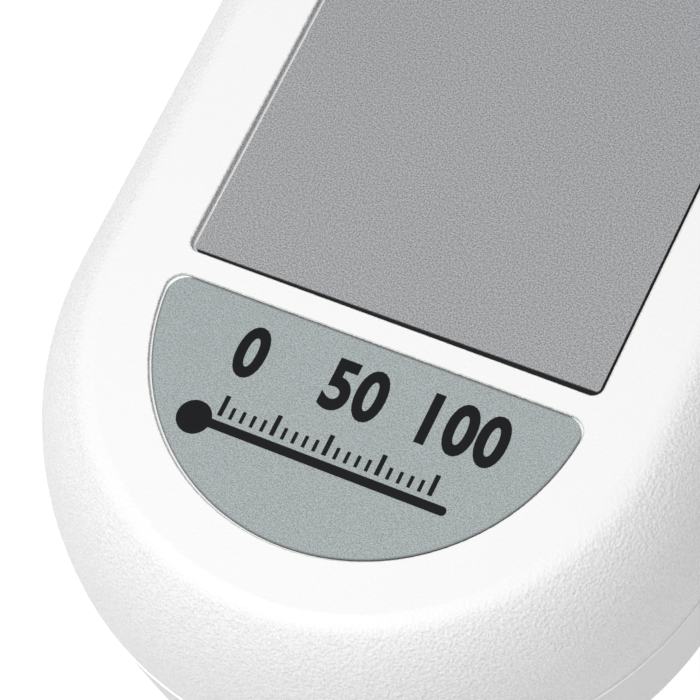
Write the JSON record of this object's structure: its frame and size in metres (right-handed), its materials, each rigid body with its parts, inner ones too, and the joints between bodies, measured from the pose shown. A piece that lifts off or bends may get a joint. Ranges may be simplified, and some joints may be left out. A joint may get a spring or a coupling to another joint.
{
  "type": "digital thermometer",
  "caption": "Handheld digital probe thermometer with a rounded two-part white casing, grey keypad panel, display, half-disc name label, probe socket and battery door.",
  "frame": {"origin": "under the middle of the instrument, on the surface that its back rests on", "axes": "+X across the face to the right, +Y along the instrument to the probe socket, +Z out of the face"},
  "size_m": [0.071, 0.141, 0.032],
  "materials": {
    "white_casing": "fine spark-eroded texture, satin",
    "rear_casing": "finer spark-eroded texture, satin",
    "seal_rubber": "soft silicone",
    "plated_steel": "zinc plated",
    "grey_film": "textured polycarbonate film",
    "black_layer": "black adhesive layer",
    "key_plastic": "satin key cap with a printed mark",
    "spring_steel": "stainless spring steel",
    "circuit_film": "amber polyimide film",
    "connector_plastic": "cream nylon",
    "label_film": "textured grey-green film with dark print",
    "clear_window": "clear acrylic",
    "foam": "closed-cell foam",
    "display_glass": "liquid crystal display",
    "reflector_foil": "matt silver foil",
    "frame_plastic": "black polycarbonate",
    "zebra_rubber": "layered conductive rubber",
    "board_laminate": "green solder mask on glass-epoxy laminate",
    "chip_plastic": "black moulding compound",
    "can_metal": "drawn metal can",
    "capacitor_sleeve": "sleeved can",
    "resistor_ceramic": "glazed ceramic",
    "nickel": "satin nickel plate",
    "socket_insulator": "black glass-filled plastic",
    "gold": "gold plated",
    "lead_insulation": "white lead insulation",
    "battery_lead_insulation": "red lead insulation",
    "insert_brass": "knurled brass",
    "rear_label_film": "blank silver film",
    "cell_jacket": "printed cell jacket"
  },
  "bodies": {
    "case": {"battery_cell_1": "cell_jacket", "battery_cell_2": "cell_jacket", "battery_cell_3": "cell_jacket", "battery_leads": "battery_lead_insulation", "battery_plates": "spring_steel", "battery_springs": "spring_steel", "board_screws": "plated_steel", "capacitors": "capacitor_sleeve", "case_screws": "plated_steel", "case_seal": "seal_rubber", "converter_chip": "chip_plastic", "crystal": "can_metal", "display_gasket": "foam", "display_window": "clear_window", "door_inserts": "insert_brass", "front_case": "white_casing", "keypad_circuit": "circuit_film", "keypad_overlay": "grey_film", "lcd_frame": "frame_plastic", "lcd_glass": "display_glass", "lcd_reflector": "reflector_foil", "main_board": "board_laminate", "name_label": "label_film", "overlay_backing": "black_layer", "probe_leads": "lead_insulation", "processor_chip": "chip_plastic", "rear_case": "rear_casing", "rear_label": "rear_label_film", "resistors": "resistor_ceramic", "snap_domes": "spring_steel", "socket_contacts": "gold", "socket_insert": "socket_insulator", "socket_nut": "nickel", "socket_oring": "seal_rubber", "socket_shell": "nickel", "tail_connector": "connector_plastic", "zebra_strips": "zebra_rubber"},
    "power_key": {"power_key": "key_plastic"},
    "hold_key": {"hold_key": "key_plastic"},
    "max_min_key": {"max_min_key": "key_plastic"},
    "battery_door": {"battery_door": "rear_casing", "door_seal": "seal_rubber", "door_screws": "plated_steel"}
  },
  "joints": [
    {"name": "power_press", "type": "slide", "parent": "case", "child": "power_key", "axis": [0, 0, -1], "range_m": [0, 0.0003], "stiffness_N_per_m": 4000},
    {"name": "hold_press", "type": "slide", "parent": "case", "child": "hold_key", "axis": [0, 0, -1], "range_m": [0, 0.0003], "stiffness_N_per_m": 4000},
    {"name": "max_min_press", "type": "slide", "parent": "case", "child": "max_min_key", "axis": [0, 0, -1], "range_m": [0, 0.0003], "stiffness_N_per_m": 4000},
    {"name": "battery_door_lift", "type": "slide", "parent": "case", "child": "battery_door", "axis": [0, 0, -1], "range_m": [0, 0.012]}
  ]
}
